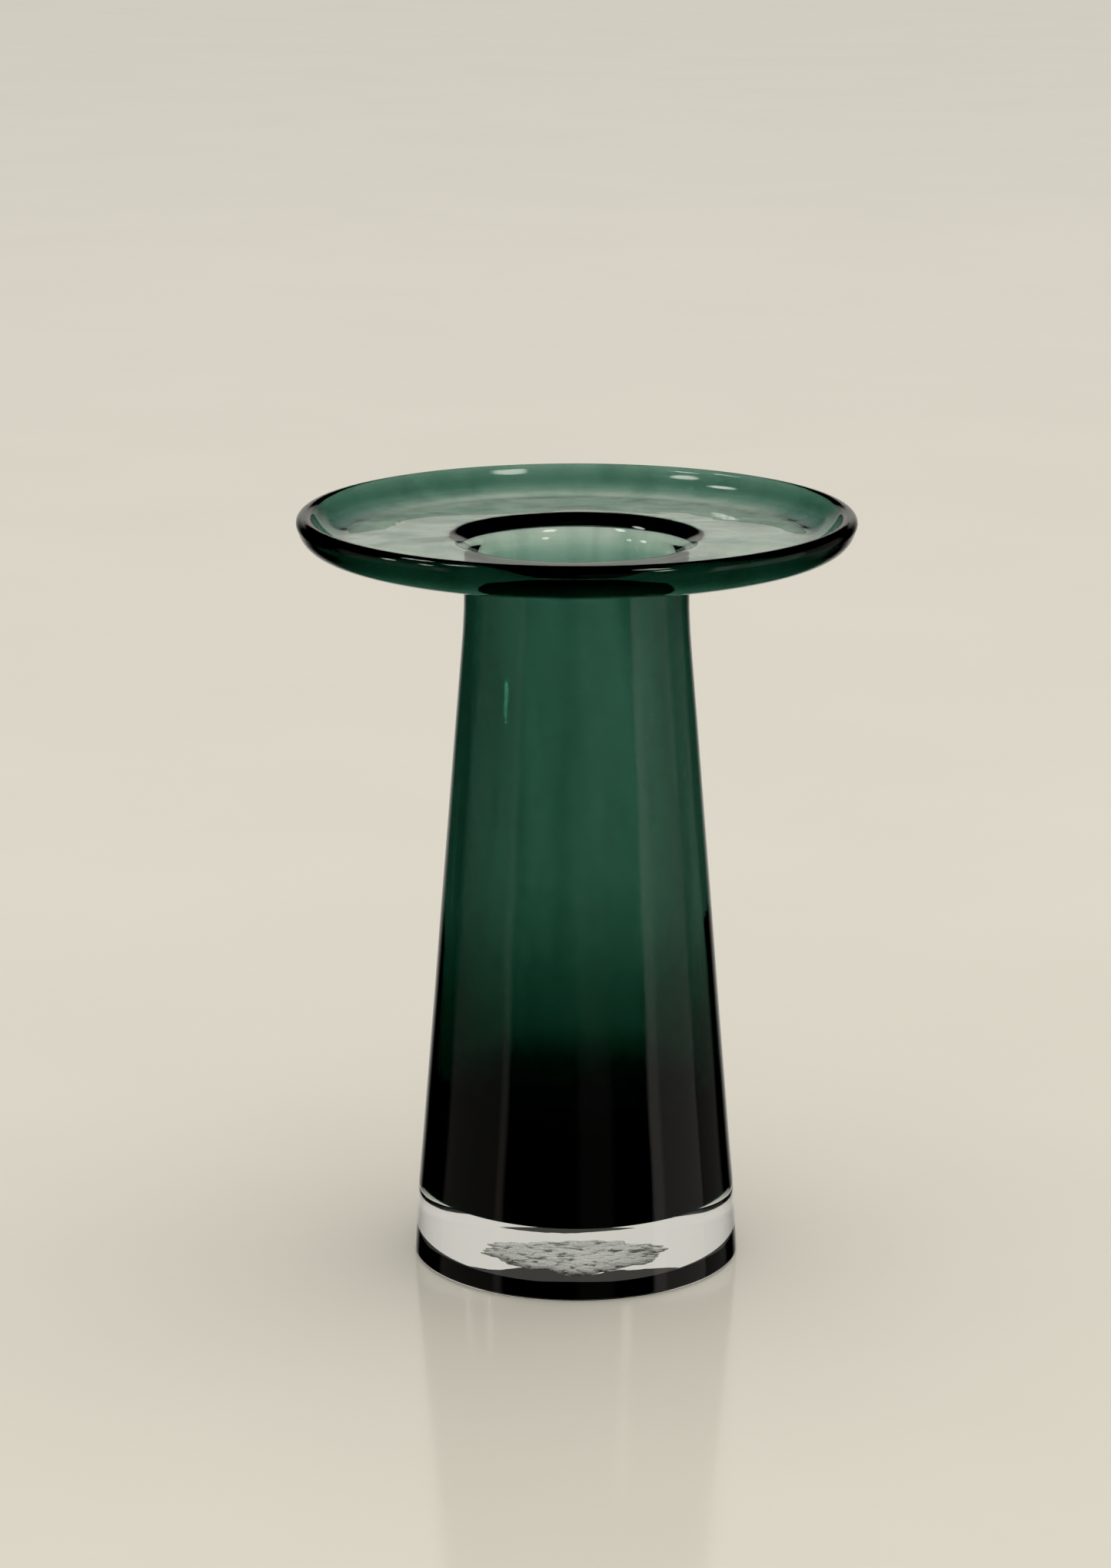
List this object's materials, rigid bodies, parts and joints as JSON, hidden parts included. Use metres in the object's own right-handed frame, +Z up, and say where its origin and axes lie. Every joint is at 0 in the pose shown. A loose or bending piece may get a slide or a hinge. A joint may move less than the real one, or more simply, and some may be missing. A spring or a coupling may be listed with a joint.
{
  "type": "glass vase",
  "caption": "Hand blown cased glass vase with a tall tapered teal body, a wide shallow dish at the top and a heavy clear foot.",
  "frame": {"origin": "centre of the flat standing ring, on the surface that the vase stands on", "axes": "+Z up along the vase's axis of turning, from foot to dish; the vase is round, so +X and +Y are free"},
  "size_m": [0.1446, 0.1446, 0.2],
  "materials": {
    "teal_glass": "fire polished, transparent, smoke dark where it is thick",
    "clear_glass": "fire polished, clear",
    "ground_glass": "ground matt, speckled"
  },
  "bodies": {
    "root": {"colour_layer": "teal_glass", "clear_casing": "clear_glass", "clear_foot": "clear_glass", "pontil_wad": "ground_glass"}
  },
  "joints": []
}
